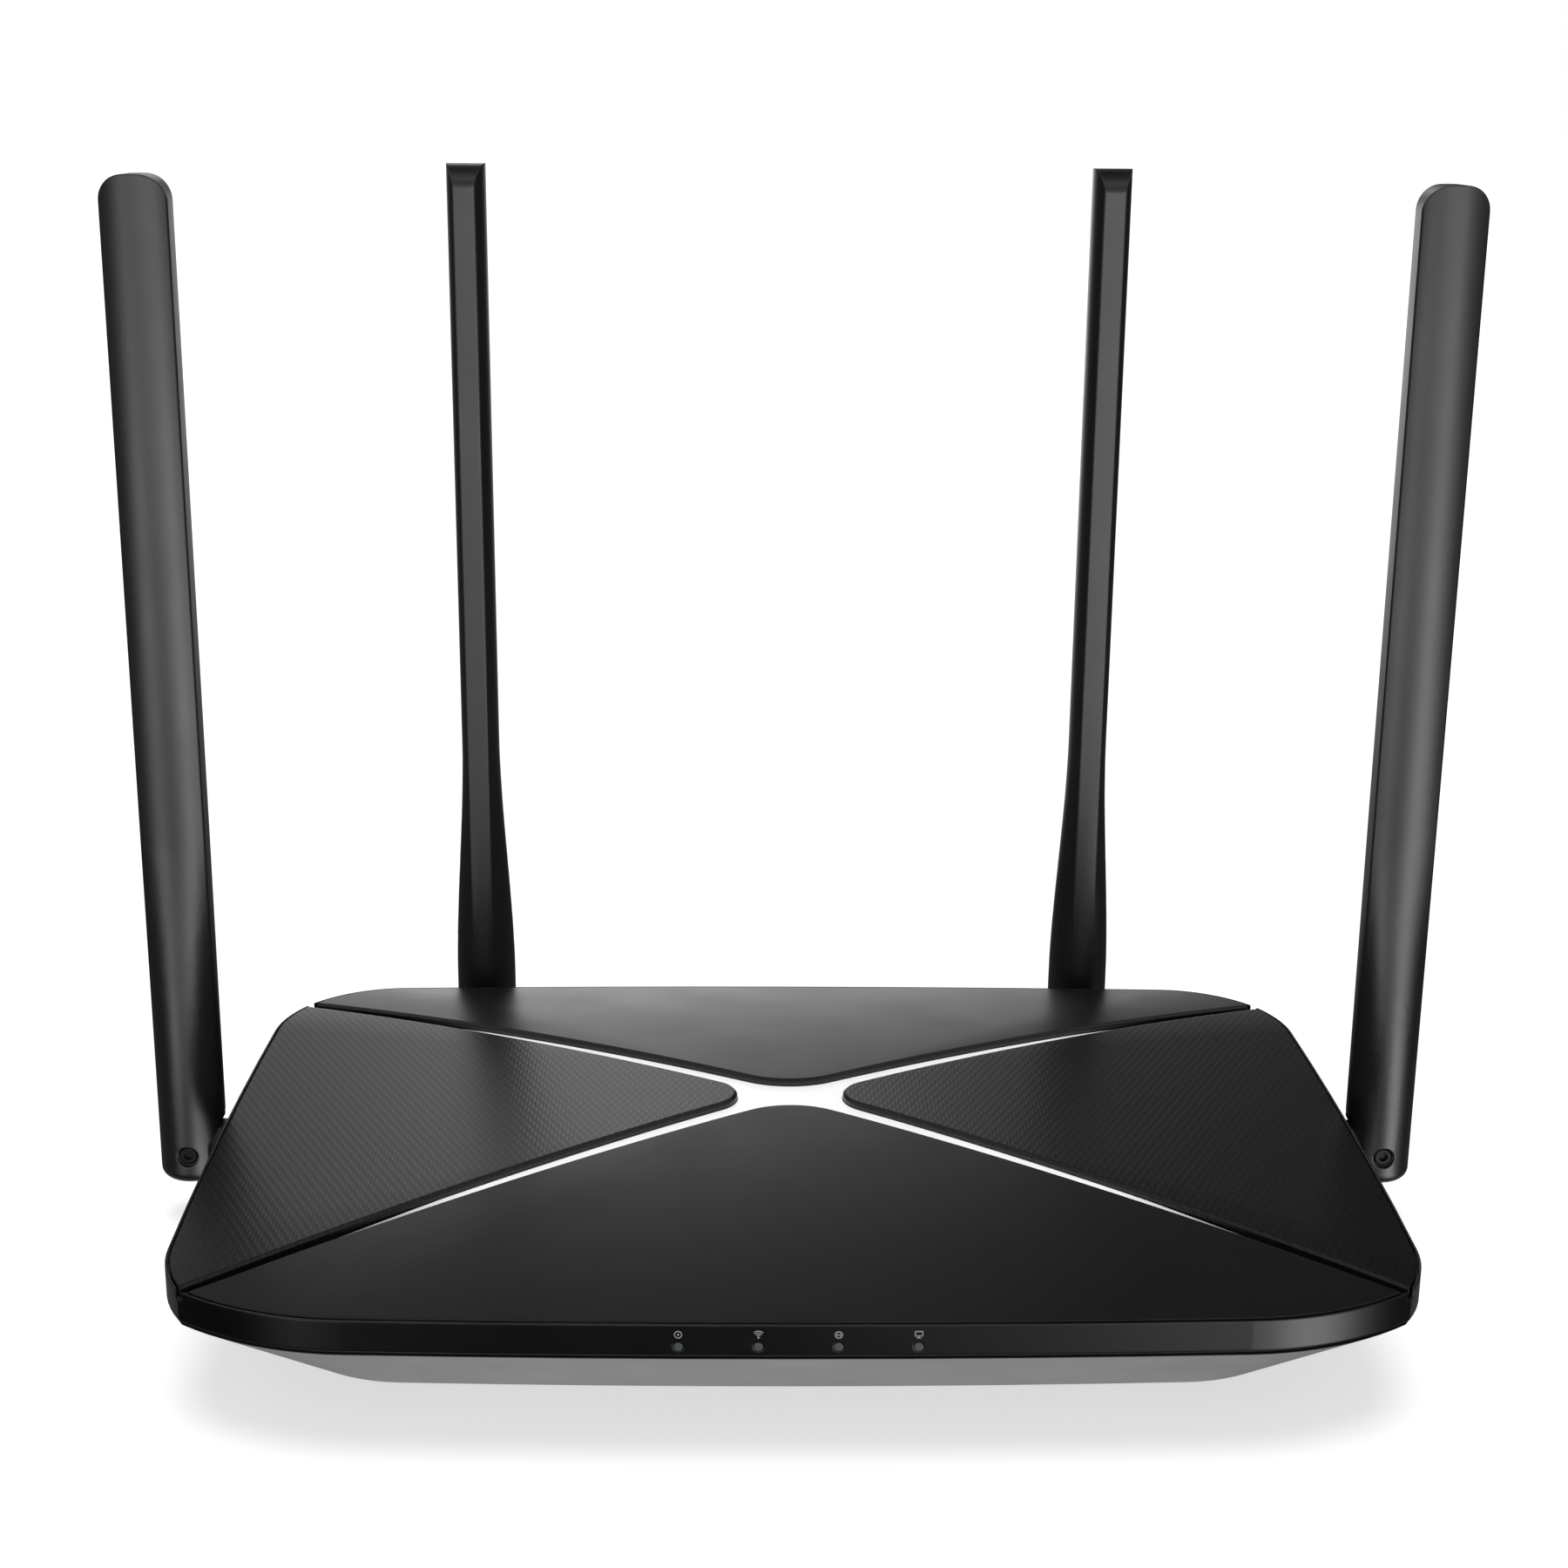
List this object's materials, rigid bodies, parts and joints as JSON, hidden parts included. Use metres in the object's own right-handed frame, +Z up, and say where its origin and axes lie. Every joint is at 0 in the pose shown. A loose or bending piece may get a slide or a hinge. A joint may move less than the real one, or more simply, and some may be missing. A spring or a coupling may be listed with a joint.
{
  "type": "wireless router",
  "caption": "Low domed desktop wireless router on a tapered tray, with crossed trim between inlaid plates, rear network sockets and antennas that swivel and fold.",
  "frame": {"origin": "under the middle of the whole object with its antennas upright, on the floor plane that the rubber feet rest on", "axes": "+X to the right as seen from the front, +Y to the back where the sockets are, +Z up"},
  "size_m": [0.2174, 0.1488, 0.1765],
  "materials": {
    "tray_plastic": "satin black plastic with a fine grain",
    "band_plastic": "semi-gloss black plastic",
    "smooth_plate": "smooth semi-gloss black plastic",
    "woven_plate": "black plastic with a fine woven texture",
    "bright_trim": "bright metallised plastic",
    "foot_rubber": "matt black rubber",
    "screw_steel": "blackened steel",
    "label": "printed silver film, left blank",
    "board": "green solder mask",
    "wan_socket": "blue socket moulding",
    "lan_socket": "yellow socket moulding",
    "gilt_contact": "gold-plated contact",
    "socket_black": "black socket moulding",
    "button_plastic": "matt black plastic",
    "shield_steel": "tinned steel",
    "light_pipe": "clear plastic, dark when unlit",
    "status_light": "unlit light-emitting diode",
    "chip_black": "black moulding compound",
    "sink_aluminium": "extruded aluminium",
    "can_aluminium": "aluminium can",
    "ferrite": "dark grey ferrite",
    "lead_jacket": "black coaxial lead",
    "antenna_plastic": "satin black plastic",
    "radiator_brass": "bare brass strip",
    "pin_steel": "steel pin",
    "knuckle_plastic": "satin black plastic"
  },
  "bodies": {
    "router": {"bottom_case": "tray_plastic", "top_frame": "band_plastic", "front_plate": "smooth_plate", "rear_plate": "smooth_plate", "left_plate": "woven_plate", "right_plate": "woven_plate", "x_trim": "bright_trim", "rubber_feet": "foot_rubber", "case_screws": "screw_steel", "rating_label": "label", "circuit_board": "board", "board_screws": "screw_steel", "wan_jack": "wan_socket", "lan_jacks": "lan_socket", "jack_contacts": "gilt_contact", "power_jack": "socket_black", "power_jack_pin": "gilt_contact", "tact_switch": "shield_steel", "light_pipes": "light_pipe", "status_lights": "status_light", "main_chip": "chip_black", "heat_sink": "sink_aluminium", "memory_chip": "chip_black", "flash_chip": "chip_black", "network_transformers": "chip_black", "capacitors": "can_aluminium", "inductors": "ferrite", "clock_crystal": "shield_steel", "radio_shields": "shield_steel", "radio_chips": "chip_black", "antenna_leads": "lead_jacket", "lead_connectors": "gilt_contact"},
    "wps_button": {"push_button": "button_plastic", "switch_plunger": "socket_black"},
    "left_side_swivel": {"left_side_knuckle": "knuckle_plastic"},
    "left_side_paddle": {"left_side_antenna": "antenna_plastic", "left_side_radiator": "radiator_brass", "left_side_hinge_pin": "pin_steel"},
    "right_side_swivel": {"right_side_knuckle": "knuckle_plastic"},
    "right_side_paddle": {"right_side_antenna": "antenna_plastic", "right_side_radiator": "radiator_brass", "right_side_hinge_pin": "pin_steel"},
    "left_rear_swivel": {"left_rear_knuckle": "knuckle_plastic"},
    "left_rear_paddle": {"left_rear_antenna": "antenna_plastic", "left_rear_radiator": "radiator_brass", "left_rear_hinge_pin": "pin_steel"},
    "right_rear_swivel": {"right_rear_knuckle": "knuckle_plastic"},
    "right_rear_paddle": {"right_rear_antenna": "antenna_plastic", "right_rear_radiator": "radiator_brass", "right_rear_hinge_pin": "pin_steel"}
  },
  "joints": [
    {"name": "button_press", "type": "slide", "parent": "router", "child": "wps_button", "axis": [0, -1, 0], "range_m": [0, 0.0005], "stiffness_N_per_m": 2000},
    {"name": "left_side_turn", "type": "hinge", "parent": "router", "child": "left_side_swivel", "pos_m": [-0.1031, 0.00658, 0.0128], "axis": [-1, 0, 0], "range_deg": [-90, 90]},
    {"name": "left_side_fold", "type": "hinge", "parent": "left_side_swivel", "child": "left_side_paddle", "pos_m": [-0.1031, 0.00658, 0.0128], "axis": [0, -1, 0], "range_deg": [0, 90]},
    {"name": "right_side_turn", "type": "hinge", "parent": "router", "child": "right_side_swivel", "pos_m": [0.1031, 0.00658, 0.0128], "axis": [1, 0, 0], "range_deg": [-90, 90]},
    {"name": "right_side_fold", "type": "hinge", "parent": "right_side_swivel", "child": "right_side_paddle", "pos_m": [0.1031, 0.00658, 0.0128], "axis": [0, 1, 0], "range_deg": [0, 90]},
    {"name": "left_rear_turn", "type": "hinge", "parent": "router", "child": "left_rear_swivel", "pos_m": [-0.0584, 0.06878, 0.0128], "axis": [0, 1, 0], "range_deg": [-90, 30]},
    {"name": "left_rear_fold", "type": "hinge", "parent": "left_rear_swivel", "child": "left_rear_paddle", "pos_m": [-0.0584, 0.06878, 0.0128], "axis": [-1, 0, 0], "range_deg": [0, 90]},
    {"name": "right_rear_turn", "type": "hinge", "parent": "router", "child": "right_rear_swivel", "pos_m": [0.0584, 0.06878, 0.0128], "axis": [0, 1, 0], "range_deg": [-30, 90]},
    {"name": "right_rear_fold", "type": "hinge", "parent": "right_rear_swivel", "child": "right_rear_paddle", "pos_m": [0.0584, 0.06878, 0.0128], "axis": [-1, 0, 0], "range_deg": [0, 90]}
  ]
}
